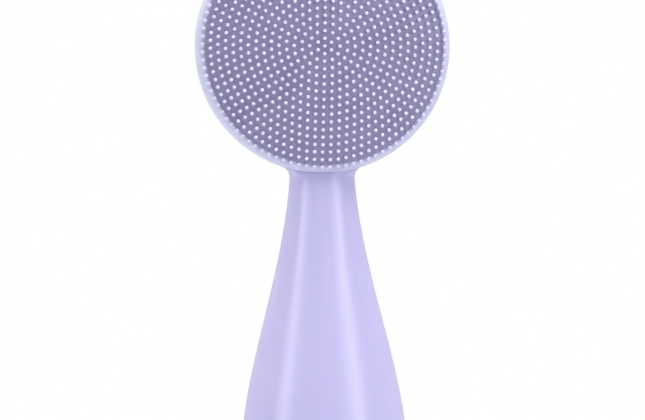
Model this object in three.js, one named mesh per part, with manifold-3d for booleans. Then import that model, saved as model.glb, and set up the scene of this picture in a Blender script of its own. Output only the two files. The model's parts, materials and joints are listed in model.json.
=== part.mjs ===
// Facial cleansing brush: a soft silicone body over a hard two-part core, with a vibration motor in the
// round head, a control board and button in the handle, and a battery behind a quarter-turn cap.
//
// Millimetres, +Z up. The origin is the centre of the resting face. The brush face looks along -Y.

import * as THREE from "three";
import { mergeVertices } from "three/addons/utils/BufferGeometryUtils.js";
import Module from "manifold-3d";

const { Path, Shape, Vector2, Vector3, MathUtils } = THREE;

// ---------------------------------------------------------------- driving dimensions

const HEIGHT = 160; // resting face to the top of the head
const HEAD_R = 30;
const HEAD_Z = HEIGHT - HEAD_R;
const HEAD_FRONT = 12.6; // bristle tips in front of the handle's axis
const BRISTLE_LENGTH = 1.7;
const HEAD_BACK = 11.4;
const DOME_RISE = 3.2; // how far the brush face bulges inside its rim
const RIM_WIDTH = 1.1;
const RIM_Y = -2.4; // the head is widest here, and the brush pad meets the sleeve here

const BULB_HALF = 19.5; // half the handle's widest part
const BULB_Z = 34;
const BASE_HALF = 16.4;
const BASE_EDGE = 2.8;
const NECK_HALF = 7.5;
const NECK_Z = 104.4; // where the handle's taper would stop narrowing, just inside the head
const NECK_LEAN = 0.9; // the neck sits this far behind the handle's axis
const FLARE_HALF = 7.6; // the taper's half-width where it flares into the head
const FLARE_R = 3.0;
const DEPTH_SHARE = 0.95; // the handle's depth over its width

const SKIN = 2.0; // silicone wall
const CORE_WALL = 1.5;
const GAP = 0.2; // between parts that touch on the real object
const CORE_INSET = SKIN + GAP;

const BASE_OPENING_R = 11.6;
const CORE_FLOOR = 4.0; // the core's lowest face

const BUTTON_Z = 32;
const BUTTON_R = 5.3;

const CAP_FACE_Z = 0.6; // the cap sits this far inside the base
const CAP_R = 9.1;
const CAP_PLUG_R = 7.9;
const CAP_TOP_Z = 7.2;
const CAP_BORE_R = 8.5;
const CAP_TURN = Math.PI / 2;
const CAP_DROP = 2.4; // how far a quarter turn lowers the cap
const LUG_COUNT = 3;
const LUG_HALF_ANGLE = MathUtils.degToRad(11);
const LUG_Z = [1.6, 2.8];
const LUG_R = 10.0;

const BATTERY_R = 5.25;
const BATTERY_LENGTH = 44.5;
const BATTERY_Z = 11.4;
const TUBE_BORE_R = 5.6;
const TUBE_R = 6.9;
const TUBE_TOP = 58.6;

const BOARD_W = 13;
const BOARD_Z = [21.5, 55];
const BOARD_FRONT = -9.2;
const BOARD_BACK = -8.2;

const MOTOR_R = 5.0;
const MOTOR_Y = 1.5;
const MOTOR_Z = [112, 130];

const CORE_SCREWS = {
  head_left: [-17, 118],
  head_right: [17, 118],
  base_left: [-11.4, 21],
  base_right: [11.4, 21],
};

// ---------------------------------------------------------------- finishes

const finish = (color, roughness, metalness = 0) =>
  new THREE.MeshStandardMaterial({ color, roughness, metalness });
const FINISH = {
  lilac_silicone: finish(0xc6beef, 0.42),
  brush_silicone: finish(0xd6d3f2, 0.5),
  button: finish(0xb7aee6, 0.35),
  base_plastic: finish(0xb9b0e2, 0.4),
  core_plastic: finish(0xe9e8ec, 0.55),
  seal_rubber: finish(0x35343a, 0.8),
  bright_metal: finish(0xc9cacc, 0.28, 1),
  copper: finish(0xb06a3c, 0.4, 1),
  gold_contact: finish(0xd8b260, 0.3, 1),
  battery_wrap: finish(0x3c4a63, 0.35),
  board: finish(0x1f6a45, 0.5),
  chip: finish(0x222226, 0.5),
  led: finish(0xf3f3ea, 0.2),
  red_wire: finish(0xb3322c, 0.45),
  black_wire: finish(0x26262a, 0.45),
};

// ---------------------------------------------------------------- solids

const wasm = await Module();
wasm.setup();

function toSolid(geometry) {
  const bare = geometry.clone();
  bare.deleteAttribute("normal");
  bare.deleteAttribute("uv");
  const merged = mergeVertices(bare, 1e-4);
  return new wasm.Manifold(
    new wasm.Mesh({
      numProp: 3,
      vertProperties: new Float32Array(merged.attributes.position.array),
      triVerts: new Uint32Array(merged.index.array),
    }),
  );
}

function toGeometry(solid) {
  const mesh = solid.getMesh();
  const geometry = new THREE.BufferGeometry();
  geometry.setAttribute("position", new THREE.BufferAttribute(new Float32Array(mesh.vertProperties), 3));
  geometry.setIndex(new THREE.BufferAttribute(new Uint32Array(mesh.triVerts), 1));
  geometry.computeVertexNormals();
  return geometry;
}

const combine = (operation) => (first, ...others) =>
  toGeometry(others.map(toSolid).reduce((solid, other) => solid[operation](other), toSolid(first)));
const join = combine("add");
const cut = combine("subtract");
const keep = combine("intersect");

// A closed skin over a row of rings that hold the same number of points, anticlockwise seen from the last
// ring.
function loft(rings) {
  const count = rings[0].length;
  const centres = [rings[0], rings.at(-1)].map((ring) =>
    ring.reduce((sum, p) => sum.add(p), new Vector3()).divideScalar(count),
  );
  const points = [...rings.flat(), ...centres];
  const first = rings.length * count;
  const index = [];
  for (let i = 0; i < count; i++) {
    const next = (i + 1) % count;
    index.push(first, next, i);
    const top = (rings.length - 1) * count;
    index.push(first + 1, top + i, top + next);
    for (let row = 0; row < rings.length - 1; row++) {
      const a = row * count + i;
      const b = row * count + next;
      index.push(a, b, b + count, a, b + count, a + count);
    }
  }
  const geometry = new THREE.BufferGeometry().setFromPoints(points);
  geometry.setIndex(index);
  return geometry;
}

function ellipseRing(halfWidth, halfDepth, y, z, count) {
  return Array.from({ length: count }, (_, i) => {
    const angle = (2 * Math.PI * i) / count;
    return new Vector3(halfWidth * Math.cos(angle), y + halfDepth * Math.sin(angle), z);
  });
}

// A turned part about the Y axis. The profile holds [radius, y] pairs or Vector2s, and is closed by the axis
// or by its own last point.
function turnedY(profile, segments) {
  const points = profile.map((p) => (p.isVector2 ? p : new Vector2(...p)));
  const start = points[0];
  const end = points.at(-1);
  const open = start.x > 0 || end.x > 0;
  const loop = open ? [...points, start.clone()] : points;
  if (THREE.ShapeUtils.area(loop) < 0) loop.reverse();
  return new THREE.LatheGeometry(loop, segments);
}

// A turned part about the Z axis, from [radius, z] pairs.
const turned = (profile, segments) => turnedY(profile, segments).rotateX(Math.PI / 2);

const rod = (radius, z0, z1, segments = 24) =>
  new THREE.CylinderGeometry(radius, radius, z1 - z0, segments)
    .rotateX(Math.PI / 2)
    .translate(0, 0, (z0 + z1) / 2);
const rodY = (radius, y0, y1, x, z, segments = 20) =>
  new THREE.CylinderGeometry(radius, radius, y1 - y0, segments).translate(x, (y0 + y1) / 2, z);
const block = ([x0, x1], [y0, y1], [z0, z1]) =>
  new THREE.BoxGeometry(x1 - x0, y1 - y0, z1 - z0).translate((x0 + x1) / 2, (y0 + y1) / 2, (z0 + z1) / 2);

const FAR = 2 * HEIGHT; // beyond the whole brush, for cutting blocks
const ALL = [-FAR, FAR];
const below = (z) => block(ALL, ALL, [-FAR, z]);

// A round wire or bar along a curve.
function wire(curve, radius, steps) {
  const section = new Shape().absarc(0, 0, radius, 0, 2 * Math.PI);
  const options = { steps, curveSegments: 3, bevelEnabled: false, extrudePath: curve };
  return new THREE.ExtrudeGeometry(section, options);
}

// ---------------------------------------------------------------- the body's outer form

// The handle's half-width against height, from the base up to where it flares into the head.
const FLARE_X = FLARE_HALF + FLARE_R;
const FLARE_Z = HEAD_Z - Math.sqrt((HEAD_R + FLARE_R) ** 2 - FLARE_X ** 2);

function handleOutline() {
  const flareEnd = Math.PI / 2 + Math.atan2(FLARE_X, HEAD_Z - FLARE_Z);
  const outline = new Path();
  outline.moveTo(BASE_HALF - BASE_EDGE, 0);
  outline.quadraticCurveTo(BASE_HALF - 0.2, 0, BASE_HALF + 0.3, BASE_EDGE);
  outline.bezierCurveTo(BASE_HALF + 1.8, 10, BULB_HALF, 21, BULB_HALF, BULB_Z);
  outline.bezierCurveTo(BULB_HALF, BULB_Z + 20, NECK_HALF, NECK_Z - 25, NECK_HALF, NECK_Z);
  const taper = outline.getPoints(7).filter((p) => p.y < FLARE_Z - 1);
  const flare = new Path().absarc(FLARE_X, FLARE_Z, FLARE_R, Math.PI, flareEnd, true).getPoints(2);
  const inTheHead = new Vector2(FLARE_HALF, flare.at(-1).y + 7);
  return [...taper, ...flare, inTheHead];
}

const lean = (z) => NECK_LEAN * MathUtils.smoothstep(z, BULB_Z, NECK_Z - 8);

// How finely the body's forms are cut: FINE for what shows, PLAIN for every wall inside it. All the plain
// forms share their facets, so that one nests in the next with an even gap.
const FINE = { sides: 28, rowStep: 1, segments: 36, points: 4 };
const PLAIN = { sides: 20, rowStep: 2, segments: 28, points: 3 };

// The handle flares sideways only: its depth stays the neck's where it runs into the head.
function handleForm(inset, { sides, rowStep } = PLAIN) {
  const outline = handleOutline();
  const rows = outline.filter((_, i) => i % rowStep === 0 || i === outline.length - 1);
  const rings = rows.map(({ x, y: z }) => {
    const halfDepth = DEPTH_SHARE * (z < FLARE_Z ? x : FLARE_HALF);
    return ellipseRing(x - inset, halfDepth - inset, lean(z), z, sides);
  });
  return loft(rings);
}

// The head's [radius, y] profile from its front pole to its back pole.
function headProfile(inset, { points } = PLAIN) {
  const rim = HEAD_R - inset;
  const front = -(HEAD_FRONT - BRISTLE_LENGTH - inset);
  const back = HEAD_BACK - inset;
  const faceR = HEAD_R - RIM_WIDTH - inset;
  const profile = new Path();
  profile.moveTo(0, front);
  profile.quadraticCurveTo(faceR / 2, front, faceR, front + DOME_RISE);
  profile.bezierCurveTo(rim - 0.4, front + DOME_RISE + 0.6, rim, RIM_Y - 2.2, rim, RIM_Y);
  profile.bezierCurveTo(rim, RIM_Y + 7.5, rim - 6.5, back, rim - 15, back);
  profile.lineTo(0, back);
  return profile.getPoints(points);
}

const headForm = (inset, fineness = PLAIN) =>
  turnedY(headProfile(inset, fineness), fineness.segments).translate(0, 0, HEAD_Z);

const bodyForm = (inset, fineness = PLAIN) => join(handleForm(inset, fineness), headForm(inset, fineness));

// ---------------------------------------------------------------- silicone

// The front of the head, cut forwards from the widest rim, so that the brush pad drops in from the front.
function padSeat(clearance) {
  const radius = HEAD_R + clearance;
  const profile = [[0, -FAR], [radius, -FAR], [radius, RIM_Y + clearance], [0, RIM_Y + clearance]];
  return turnedY(profile, FINE.segments).translate(0, 0, HEAD_Z);
}

// Low rings on the back of the head, for massage.
function massageRidges() {
  const height = 0.9;
  const halfWidth = 1.2;
  const sunk = 0.5;
  return [5, 9, 13].map((radius) =>
    turnedY(
      [
        [radius - halfWidth, HEAD_BACK - sunk],
        [radius - halfWidth / 2, HEAD_BACK + height],
        [radius + halfWidth / 2, HEAD_BACK + height],
        [radius + halfWidth, HEAD_BACK - sunk],
      ],
      24,
    ).translate(0, 0, HEAD_Z),
  );
}

function siliconeSleeve() {
  const outer = join(bodyForm(0, FINE), ...massageRidges());
  const baseOpening = rod(BASE_OPENING_R, -1, CORE_FLOOR + 1, 28);
  const cavity = cut(bodyForm(SKIN), below(CORE_FLOOR - GAP));
  const buttonHole = rodY(BUTTON_R + 0.3, -HEAD_R, -12, 0, BUTTON_Z, 24);
  return cut(outer, cavity, baseOpening, padSeat(GAP), buttonHole);
}

function brushPad() {
  const outside = headProfile(0, FINE).filter((p) => p.y <= RIM_Y);
  const inside = headProfile(SKIN).filter((p) => p.y <= RIM_Y);
  const cup = turnedY([...outside, ...inside.reverse()], FINE.segments).translate(0, 0, HEAD_Z);
  const neck = handleForm(SKIN - GAP);
  return cut(cup, neck);
}

// ---------------------------------------------------------------- hard core

const front = () => block(ALL, [-FAR, -GAP / 2], ALL);
const rear = () => block(ALL, [GAP / 2, FAR], ALL);

const COLLAR_BACK = -13.4; // the button's collar reaches back to here
const BUTTON_FLANGE_R = 6.6;
const BOARD_POSTS = [[-4.3, 52.4], [4.3, 24]];
const BRACKET_SCREW_X = 8.8;
const BRACKET_Z = 121;
const BRACKET_FOOT = [3.1, 3.9]; // the motor bracket's feet, front to back

function coreShell() {
  const outer = bodyForm(CORE_INSET);
  const inner = bodyForm(CORE_INSET + CORE_WALL);
  const screwBosses = Object.values(CORE_SCREWS).map(([x, z]) => rodY(2.4, -HEAD_R, HEAD_R, x, z, 10));
  const collar = rodY(BUTTON_R + 2, -HEAD_R, COLLAR_BACK, 0, BUTTON_Z);
  const boardPosts = BOARD_POSTS.map(([x, z]) => rodY(1.7, -HEAD_R, BOARD_FRONT - GAP, x, z, 10));
  const bracketPads = [-1, 1].map((side) =>
    rodY(2.2, BRACKET_FOOT[1] + GAP, HEAD_R, side * BRACKET_SCREW_X, BRACKET_Z, 10),
  );
  const fittings = join(...screwBosses, collar, ...boardPosts, ...bracketPads);
  const hollow = cut(inner, below(CORE_FLOOR + CORE_WALL));
  const shell = join(cut(outer, hollow), keep(fittings, outer));
  const housingHole = rod(10.4, 0, CORE_FLOOR + CORE_WALL + 1, 28);
  return cut(shell, below(CORE_FLOOR), housingHole);
}

const SCREW_HEAD_R = 1.7;
const SCREW_SHANK_R = 0.9;
const SCREW_HOLE_R = 1.15;
const CORE_SCREW_SEAT = 4.6; // how far behind the split the core screws' heads sit
const CORE_SCREW_LENGTH = 9;

function coreFrontShell(shell) {
  const holes = [
    ...Object.values(CORE_SCREWS).map(([x, z]) => rodY(SCREW_HOLE_R, -6, 1, x, z, 10)),
    ...BOARD_POSTS.map(([x, z]) => rodY(SCREW_HOLE_R, -11.8, 0, x, z, 10)),
    rodY(BUTTON_R + 0.3, -HEAD_R, 0, 0, BUTTON_Z),
    rodY(BUTTON_FLANGE_R + 0.4, COLLAR_BACK, 0, 0, BUTTON_Z),
  ];
  return cut(keep(shell, front()), ...holes);
}

function coreRearShell(shell) {
  const holes = Object.values(CORE_SCREWS).flatMap(([x, z]) => [
    rodY(SCREW_HOLE_R, -1, HEAD_R, x, z, 12),
    rodY(SCREW_HEAD_R + 0.3, CORE_SCREW_SEAT, HEAD_R, x, z, 12),
  ]);
  const bracketHoles = [-1, 1].map((side) =>
    rodY(SCREW_HOLE_R, 0, 7.2, side * BRACKET_SCREW_X, BRACKET_Z, 10),
  );
  return cut(keep(shell, rear()), ...holes, ...bracketHoles);
}

// A cross-head screw whose head sits at the origin, with its shank along -Y.
function screw(length) {
  const headHeight = 1.2;
  const blank = turnedY(
    [
      [0, -length],
      [SCREW_SHANK_R * 0.5, -length],
      [SCREW_SHANK_R, -length + 0.8],
      [SCREW_SHANK_R, 0],
      [SCREW_HEAD_R, 0],
      [SCREW_HEAD_R * 0.8, headHeight],
      [0, headHeight],
    ],
    10,
  );
  const slot = [0.3, 1.1];
  const cross = slot.map((halfX, i) =>
    block([-halfX, halfX], [headHeight - 0.6, headHeight + 1], [-slot[1 - i], slot[1 - i]]),
  );
  return cut(blank, ...cross);
}

// ---------------------------------------------------------------- battery compartment

const FLANGE_TOP = 3.0;
const STEP_Z = 8.3; // the plug bore's inner end
const STRIP_X = [7.45, 7.8];

// A band about the Z axis, whose floor and roof are functions of the angle.
function band([r0, r1], [angle0, angle1], floor, roof, steps) {
  const rings = Array.from({ length: steps + 1 }, (_, i) => {
    const angle = MathUtils.lerp(angle0, angle1, i / steps);
    const at = (radius, z) => new Vector3(radius * Math.cos(angle), radius * Math.sin(angle), z);
    return [at(r0, floor(angle)), at(r0, roof(angle)), at(r1, roof(angle)), at(r1, floor(angle))];
  });
  return loft(rings);
}

const lugAngles = Array.from({ length: LUG_COUNT }, (_, i) => (2 * Math.PI * i) / LUG_COUNT + Math.PI / 6);

// The path a lug cuts as the cap turns: it runs clockwise seen from above, and down and out of the base.
function lugGroove(start) {
  const play = 0.25;
  const reach = LUG_HALF_ANGLE + MathUtils.degToRad(3);
  const dropAt = (angle, side) =>
    CAP_DROP * MathUtils.clamp((start - angle + side * reach) / CAP_TURN, 0, 1);
  return band(
    [CAP_R - 1, LUG_R + 0.3],
    [start - CAP_TURN - reach, start + reach],
    (angle) => LUG_Z[0] - play - dropAt(angle, 1),
    (angle) => LUG_Z[1] + play - dropAt(angle, -1),
    10,
  );
}

function batteryHousing() {
  const wall = 1.2;
  const body = turned(
    [
      [CAP_R + 0.3, CAP_FACE_Z],
      [BASE_OPENING_R - 0.3, CAP_FACE_Z],
      [BASE_OPENING_R - 0.3, FLANGE_TOP],
      [10.1, FLANGE_TOP],
      [10.1, STEP_Z + 0.6],
      [TUBE_R + 0.6, STEP_Z + 2.4],
      [TUBE_R, STEP_Z + 4],
      [TUBE_R, TUBE_TOP],
      [2.2, TUBE_TOP],
      [2.2, TUBE_TOP - wall],
      [TUBE_BORE_R, TUBE_TOP - wall],
      [TUBE_BORE_R, STEP_Z],
      [CAP_BORE_R, STEP_Z],
      [CAP_BORE_R, FLANGE_TOP + 0.3],
      [CAP_R + 0.3, FLANGE_TOP + 0.3],
    ],
    28,
  );
  const stripSlot = block([STRIP_X[0] - GAP, STRIP_X[1] + GAP], [-1.7, 1.7], [STEP_Z - 1, STEP_Z + 5]);
  return cut(body, stripSlot, ...lugAngles.map(lugGroove));
}

function housingGasket() {
  return turned([[10.25, 3.1], [11.2, 3.1], [11.2, 3.8], [10.25, 3.8]], 28);
}

function batteryCap() {
  const grooveR = 6.7;
  const body = turned(
    [
      [0, CAP_FACE_Z],
      [CAP_R - 0.4, CAP_FACE_Z],
      [CAP_R, CAP_FACE_Z + 0.4],
      [CAP_R, FLANGE_TOP],
      [CAP_PLUG_R, FLANGE_TOP],
      [CAP_PLUG_R, 4.5],
      [grooveR, 4.5],
      [grooveR, 6.1],
      [CAP_PLUG_R, 6.1],
      [CAP_PLUG_R, CAP_TOP_Z - 0.3],
      [CAP_PLUG_R - 0.3, CAP_TOP_Z],
      [0, CAP_TOP_Z],
    ],
    28,
  );
  const coinSlot = block([-7, 7], [-1, 1], [CAP_FACE_Z - 1, CAP_FACE_Z + 1.3]);
  const lugs = lugAngles.map((angle) =>
    band(
      [CAP_R - 0.6, LUG_R],
      [angle - LUG_HALF_ANGLE, angle + LUG_HALF_ANGLE],
      () => LUG_Z[0],
      () => LUG_Z[1],
      2,
    ),
  );
  return cut(join(body, ...lugs), coinSlot);
}

const capSeal = () => new THREE.TorusGeometry(7.6, 0.7, 6, 28).translate(0, 0, 5.3);

function capContact() {
  const [z0, z1] = [CAP_TOP_Z + 0.1, CAP_TOP_Z + 0.4];
  return turned([[1.5, z0], [7.3, z0], [7.3, z1], [1.5, z1]], 20);
}

class ConeHelix extends THREE.Curve {
  getPoint(t) {
    const angle = 2 * Math.PI * 3 * t;
    const radius = MathUtils.lerp(4.2, 2.6, t);
    return new Vector3(radius * Math.cos(angle), radius * Math.sin(angle), MathUtils.lerp(8.05, 10.95, t));
  }
}

const contactSpring = () => wire(new ConeHelix(), 0.28, 30);

function battery() {
  const top = BATTERY_Z + BATTERY_LENGTH;
  return turned(
    [
      [0, BATTERY_Z],
      [BATTERY_R - 0.6, BATTERY_Z],
      [BATTERY_R, BATTERY_Z + 0.6],
      [BATTERY_R, top - 1.6],
      [BATTERY_R - 0.6, top - 1.0],
      [1.9, top - 1.0],
      [1.9, top],
      [0, top],
    ],
    24,
  );
}

// The positive contact: a washer on the tube's top with a button that reaches down through its hole.
function positiveContact() {
  return turned([[0, 56.3], [1.6, 56.3], [1.6, 58.8], [4.6, 58.8], [4.6, 59.2], [0, 59.2]], 16);
}

// The negative strip: a foot under the cap's contact ring's edge, and a leg up the outside of the tube.
function negativeStrip() {
  const halfWidth = 1.5;
  const foot = block([5.9, STRIP_X[1]], [-halfWidth, halfWidth], [7.75, 8.05]);
  const leg = block(STRIP_X, [-halfWidth, halfWidth], [7.75, 52]);
  return join(foot, leg);
}

// ---------------------------------------------------------------- electronics

function controlBoard() {
  const board = block([-BOARD_W / 2, BOARD_W / 2], [BOARD_FRONT, BOARD_BACK], BOARD_Z);
  return cut(board, ...BOARD_POSTS.map(([x, z]) => rodY(SCREW_HOLE_R, -HEAD_R, 0, x, z, 10)));
}

const FACE = BOARD_FRONT - 0.1; // parts on the board's front stand on this plane

function switchBody() {
  const half = 2.3;
  const body = block([-half, half], [FACE - 1.6, FACE], [BUTTON_Z - half, BUTTON_Z + half]);
  return cut(body, rodY(1.4, FACE - 2, FACE - 0.5, 0, BUTTON_Z, 20));
}

const switchPlunger = () => rodY(1.15, -11.75, -10.3, 0, BUTTON_Z, 20);
const controllerChip = () => block([-4, 1], [FACE - 1.4, FACE], [40, 45]);
const boostInductor = () => block([-1.2, 2.8], [FACE - 1.8, FACE], [47.5, 51.5]);

function statusLed() {
  const dome = [[0, FACE - 1.6], [0.6, FACE - 1.4], [0.9, FACE - 0.8]];
  return turnedY([...dome, [0.9, FACE], [0, FACE]], 16).translate(4.2, 0, 38.5);
}

const BUTTON_FLANGE = [COLLAR_BACK + 0.2, -12.4];

function powerButton() {
  const faceY = -BULB_HALF * DEPTH_SHARE - 0.15;
  const groove = [-15.1, -14.0];
  return turnedY(
    [
      [0, faceY + 0.5],
      [2.6, faceY + 0.2],
      [4.3, faceY],
      [BUTTON_R - 0.3, faceY + 0.3],
      [BUTTON_R, faceY + 0.9],
      [BUTTON_R, groove[0]],
      [4.5, groove[0]],
      [4.5, groove[1]],
      [BUTTON_R, groove[1]],
      [BUTTON_R, BUTTON_FLANGE[0]],
      [BUTTON_FLANGE_R, BUTTON_FLANGE[0]],
      [BUTTON_FLANGE_R, BUTTON_FLANGE[1]],
      [1.3, BUTTON_FLANGE[1]],
      [1.3, -11.85],
      [0, -11.85],
    ],
    24,
  ).translate(0, 0, BUTTON_Z);
}

const buttonSeal = () =>
  new THREE.TorusGeometry(5.0, 0.42, 6, 24).rotateX(Math.PI / 2).translate(0, -14.55, BUTTON_Z);

// ---------------------------------------------------------------- motor

function motorCan() {
  const wall = 0.6;
  const [z0, z1] = MOTOR_Z;
  return turned(
    [
      [MOTOR_R - wall, z0],
      [MOTOR_R, z0],
      [MOTOR_R, z1 - 0.5],
      [MOTOR_R - 0.5, z1],
      [2, z1],
      [2, z1 + 0.9],
      [1.2, z1 + 0.9],
      [1.2, z1 - wall],
      [MOTOR_R - wall, z1 - wall],
    ],
    24,
  ).translate(0, MOTOR_Y, 0);
}

function motorEndCap() {
  const radius = MOTOR_R - 0.7;
  const z0 = MOTOR_Z[0];
  return turned([[1.2, z0], [radius, z0], [radius, z0 + 1.6], [1.2, z0 + 1.6]], 20).translate(0, MOTOR_Y, 0);
}

function motorArmature() {
  const radius = 3.9;
  const slots = [0, 1, 2].map((i) =>
    block([radius * 0.55, radius + 1], [-0.5, 0.5], [MOTOR_Z[0], MOTOR_Z[1]]).rotateZ((2 * Math.PI * i) / 3),
  );
  const core = turned([[1.0, 115.5], [radius, 115.5], [radius, 126.5], [1.0, 126.5]], 18);
  return cut(core, ...slots).translate(0, MOTOR_Y, 0);
}

const motorShaft = () => rod(0.8, 112.6, 138, 12).translate(0, MOTOR_Y, 0);

// A half-disc that throws the shaft off balance, with a hub right round the shaft.
function eccentricWeight() {
  const [z0, z1] = [132, 137.2];
  const lobe = cut(rod(4.9, z0, z1, 24), block([-6, 6], [-6, 0], [z0 - 1, z1 + 1]));
  return cut(join(lobe, rod(2.1, z0, z1, 16)), rod(0.95, z0 - 1, z1 + 1, 12)).translate(0, MOTOR_Y, 0);
}

// A strap over the can, with a foot on each side.
function motorBracket() {
  const halfHeight = 4;
  const inside = MOTOR_R + GAP;
  const outside = inside + 0.8;
  const arch = rod(outside, BRACKET_Z - halfHeight, BRACKET_Z + halfHeight, 24).translate(0, MOTOR_Y, 0);
  const behind = block(ALL, [BRACKET_FOOT[1], FAR], ALL);
  const feet = [-1, 1].map((side) => {
    const across = [side * (outside - 0.9), side * 11.2].sort((a, b) => a - b);
    return block(across, BRACKET_FOOT, [BRACKET_Z - 2.4, BRACKET_Z + 2.4]);
  });
  const can = rod(inside, ...MOTOR_Z, 24).translate(0, MOTOR_Y, 0);
  const holes = [-1, 1].map((side) => rodY(SCREW_HOLE_R, 0, 8, side * BRACKET_SCREW_X, BRACKET_Z, 10));
  return cut(join(arch, ...feet), behind, can, ...holes);
}

// ---------------------------------------------------------------- leads

const LEAD_R = 0.45;
const lead = (...points) =>
  wire(new THREE.CatmullRomCurve3(points.map((p) => new Vector3(...p))), LEAD_R, 12);

const motorLead = (side) =>
  lead(
    [side * 2.2, MOTOR_Y, MOTOR_Z[0] - 0.7],
    [side * 1.4, 1.2, 104],
    [side * 1.2, 0.8, 92],
    [side * 1.6, -1.5, 78],
    [side * 2.4, -6.6, 66],
    [side * 2.8, -8.7, 55.6],
  );
const positiveLead = () => lead([0, -1, 59.9], [0, -4, 61], [0, -7.6, 59.4], [0, -8.7, 55.6]);
const negativeLead = () => lead([8.5, 0, 49], [8.9, -2.4, 49.6], [8.4, -6, 49.4], [7.2, -8.6, 49]);

// ---------------------------------------------------------------- assembly

const brush = new THREE.Group();

function place(name, geometry, material, parent = brush) {
  const mesh = new THREE.Mesh(geometry, material);
  mesh.name = name;
  parent.add(mesh);
  return mesh;
}

function group(...position) {
  const made = new THREE.Group();
  made.position.set(...position);
  brush.add(made);
  return made;
}

place("silicone_sleeve", siliconeSleeve(), FINISH.lilac_silicone);
place("brush_pad", brushPad(), FINISH.brush_silicone);

const shell = coreShell();
place("core_front_shell", coreFrontShell(shell), FINISH.core_plastic);
place("core_rear_shell", coreRearShell(shell), FINISH.core_plastic);
for (const [where, [x, z]] of Object.entries(CORE_SCREWS)) {
  const seat = group(x, CORE_SCREW_SEAT + 0.1, z);
  place("core_screw_" + where, screw(CORE_SCREW_LENGTH), FINISH.bright_metal, seat);
}

place("battery_housing", batteryHousing(), FINISH.base_plastic);
place("housing_gasket", housingGasket(), FINISH.seal_rubber);
place("battery_cap", batteryCap(), FINISH.base_plastic);
place("cap_seal", capSeal(), FINISH.seal_rubber);
place("cap_contact", capContact(), FINISH.gold_contact);
place("contact_spring", contactSpring(), FINISH.bright_metal);
place("battery", battery(), FINISH.battery_wrap);
place("positive_contact", positiveContact(), FINISH.gold_contact);
place("negative_strip", negativeStrip(), FINISH.gold_contact);

place("control_board", controlBoard(), FINISH.board);
BOARD_POSTS.forEach(([x, z], i) => {
  const seat = group(x, BOARD_BACK + 0.05, z);
  place("board_screw_" + ["upper", "lower"][i], screw(2.8), FINISH.bright_metal, seat);
});
place("controller_chip", controllerChip(), FINISH.chip);
place("boost_inductor", boostInductor(), FINISH.chip);
place("status_led", statusLed(), FINISH.led);
place("switch_body", switchBody(), FINISH.chip);
place("switch_plunger", switchPlunger(), FINISH.core_plastic);
place("power_button", powerButton(), FINISH.button);
place("button_seal", buttonSeal(), FINISH.seal_rubber);

place("motor_can", motorCan(), FINISH.bright_metal);
place("motor_end_cap", motorEndCap(), FINISH.core_plastic);
place("motor_armature", motorArmature(), FINISH.copper);
place("motor_shaft", motorShaft(), FINISH.bright_metal);
place("eccentric_weight", eccentricWeight(), FINISH.bright_metal);
place("motor_bracket", motorBracket(), FINISH.bright_metal);
for (const [where, side] of [["left", -1], ["right", 1]]) {
  const hung = group(side * BRACKET_SCREW_X, BRACKET_FOOT[0] - 0.1, BRACKET_Z);
  hung.rotation.x = Math.PI;
  place("bracket_screw_" + where, screw(3.6), FINISH.bright_metal, hung);
}

place("motor_lead_red", motorLead(-1), FINISH.red_wire);
place("motor_lead_black", motorLead(1), FINISH.black_wire);
place("positive_lead", positiveLead(), FINISH.red_wire);
place("negative_lead", negativeLead(), FINISH.black_wire);

export default brush;
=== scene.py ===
"""Looks for the facial cleansing brush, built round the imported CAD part.

Shapes are worked out in millimetres in the part's own frame: +Z up the handle, -Y out of the brush face.
They are turned into metres when a mesh is made. Each visible piece and each kind of material has its own
function.
"""

import json
import math

import bmesh
import bpy
import numpy as np
from mathutils import Matrix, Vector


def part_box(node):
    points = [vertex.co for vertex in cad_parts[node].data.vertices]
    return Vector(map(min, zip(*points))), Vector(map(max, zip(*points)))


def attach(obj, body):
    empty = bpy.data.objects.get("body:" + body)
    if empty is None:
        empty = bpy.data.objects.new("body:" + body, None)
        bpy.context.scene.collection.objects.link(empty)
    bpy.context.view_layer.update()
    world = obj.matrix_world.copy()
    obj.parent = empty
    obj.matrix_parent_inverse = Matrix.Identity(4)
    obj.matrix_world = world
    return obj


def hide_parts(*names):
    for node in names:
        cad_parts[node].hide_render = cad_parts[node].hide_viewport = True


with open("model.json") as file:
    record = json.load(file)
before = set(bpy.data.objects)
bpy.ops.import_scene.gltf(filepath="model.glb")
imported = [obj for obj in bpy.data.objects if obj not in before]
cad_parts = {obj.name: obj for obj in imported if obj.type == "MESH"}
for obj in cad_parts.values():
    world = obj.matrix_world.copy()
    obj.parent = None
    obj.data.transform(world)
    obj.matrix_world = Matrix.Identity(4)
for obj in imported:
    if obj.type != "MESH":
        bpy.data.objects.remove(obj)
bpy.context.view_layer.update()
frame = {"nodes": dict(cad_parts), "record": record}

MM = 0.001
scene = bpy.context.scene

# ---------------- places, from the frame


def box_mm(node):
    """A CAD node's lowest and highest corners, in millimetres."""
    return np.array(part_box(node)) / MM


pad_low, pad_high = box_mm("brush_pad")
button_low, button_high = box_mm("power_button")

HEIGHT = box_mm("silicone_sleeve")[1, 2]
HEAD_R = (pad_high[0] - pad_low[0]) / 2
HEAD_Z = HEIGHT - HEAD_R
NECK_TOP = HEAD_Z - HEAD_R  # the level of the head's lowest point
RIM_Y = pad_high[1]
FACE_Y = pad_low[1]  # the brush face's highest point, between the bristles
BUTTON_Z = (button_low[2] + button_high[2]) / 2
BUTTON_FACE_Y = button_low[1]
BOARD_FACE, BOARD_BACK = box_mm("control_board")[:, 1]

# ---------------- the design's own dimensions

GAP = 0.2
SEAM = 0.04  # between the pad's rim and the sleeve, which press on each other
SKIN = 2.0  # the brush pad's wall

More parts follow.
